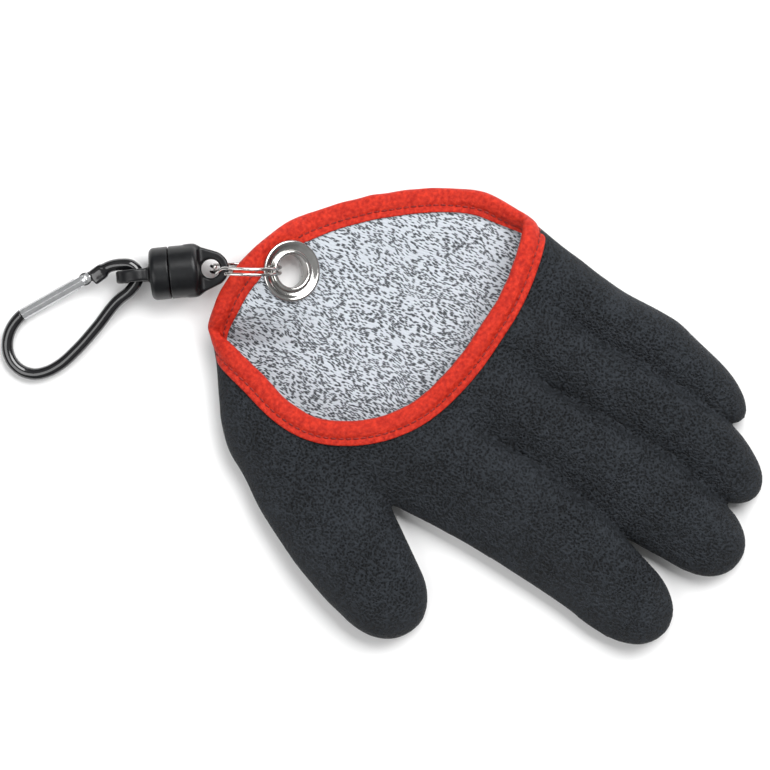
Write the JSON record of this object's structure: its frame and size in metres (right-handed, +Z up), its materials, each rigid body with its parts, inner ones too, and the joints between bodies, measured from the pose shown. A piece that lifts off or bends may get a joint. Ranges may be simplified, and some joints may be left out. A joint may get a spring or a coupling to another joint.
{
  "type": "fishing glove",
  "caption": "Left-hand fish-handling glove in black coated knit with a bound wrist opening, a grommet, a split ring, a magnetic release and a small carabiner.",
  "frame": {"origin": "on the floor under the centre of the part's box", "axes": "+Y from the wrist to the fingertips, +X to the thumb side, +Z up from the palm, which lies on Z = 0"},
  "size_m": [0.1831, 0.3107, 0.0304],
  "materials": {
    "latex": "crinkled matt foam coating",
    "knit": "grey knit with short black flecks",
    "tape": "orange-red satin binding tape",
    "nickel": "bright nickel plate",
    "magnet": "nickel-plated magnet",
    "moulding": "fine satin moulding",
    "black_bar": "gloss black anodised",
    "silver_gate": "satin"
  },
  "bodies": {
    "root": {"latex_shell": "latex", "knit_liner": "knit", "edge_binding": "tape", "grommet_washer": "nickel", "grommet_eyelet": "nickel", "split_ring": "nickel", "magnet_cap_ring_side": "moulding", "magnet_disc_ring_side": "magnet"},
    "release": {"magnet_disc_clip_side": "magnet"},
    "clip": {"magnet_cap_clip_side": "moulding", "carabiner_body": "black_bar", "gate_rivet": "silver_gate"},
    "gate": {"carabiner_gate": "silver_gate"}
  },
  "joints": [
    {"name": "magnet_release", "type": "slide", "parent": "root", "child": "release", "axis": [0.6347, -0.7727, 0], "range_m": [0, 0.02]},
    {"name": "magnet_swivel", "type": "hinge", "parent": "release", "child": "clip", "pos_m": [0.01313, -0.1094, 0.011], "axis": [0.6347, -0.7727, 0], "continuous": true},
    {"name": "gate_open", "type": "hinge", "parent": "clip", "child": "gate", "pos_m": [0.03525, -0.13747, 0.00788], "axis": [0.1073, -0.0376, 0.9935], "range_deg": [0, 25], "stiffness_Nm_per_rad": 0.05, "springref_deg": -17.19}
  ]
}
